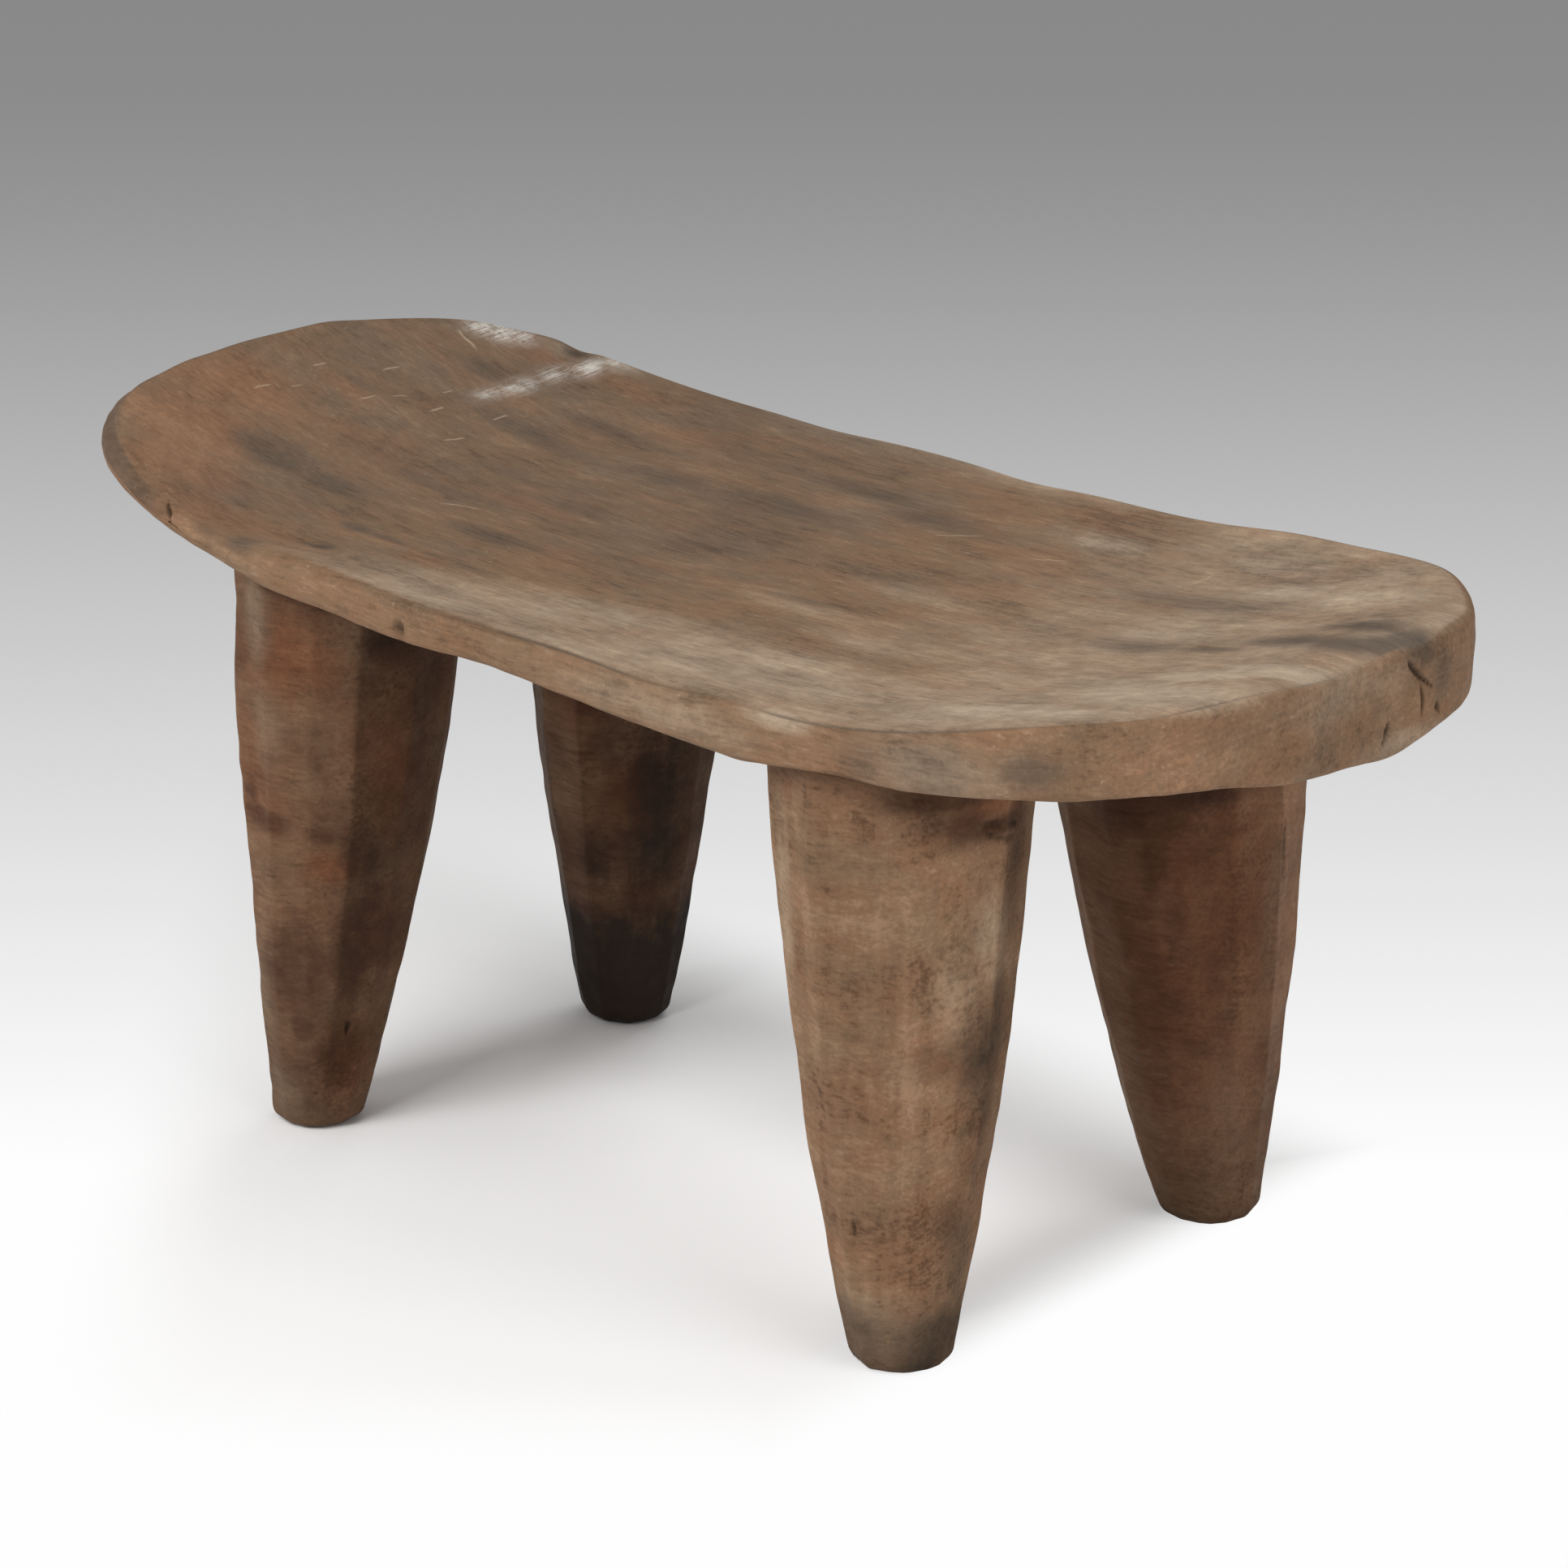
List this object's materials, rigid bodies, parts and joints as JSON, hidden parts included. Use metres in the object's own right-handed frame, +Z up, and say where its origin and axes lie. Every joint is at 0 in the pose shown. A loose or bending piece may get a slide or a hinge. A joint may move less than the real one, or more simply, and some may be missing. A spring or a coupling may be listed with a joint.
{
  "type": "carved wooden stool",
  "caption": "Low carved hardwood stool with a long oval seat, dished along its length with upturned ends, on stout tapering legs with softly faceted sides.",
  "frame": {"origin": "on the floor, under the middle of the seat", "axes": "+Z up, +X along the seat towards its thicker end, +Y across the seat to the rear legs"},
  "size_m": [0.7, 0.343, 0.3502],
  "materials": {
    "seat_wood": "worn, dull grey-brown patina with warm brown rims",
    "leg_wood": "adzed, dull red-brown with dark stains"
  },
  "bodies": {
    "root": {"seat": "seat_wood", "leg_front_left": "leg_wood", "leg_front_right": "leg_wood", "leg_rear_left": "leg_wood", "leg_rear_right": "leg_wood"}
  },
  "joints": []
}
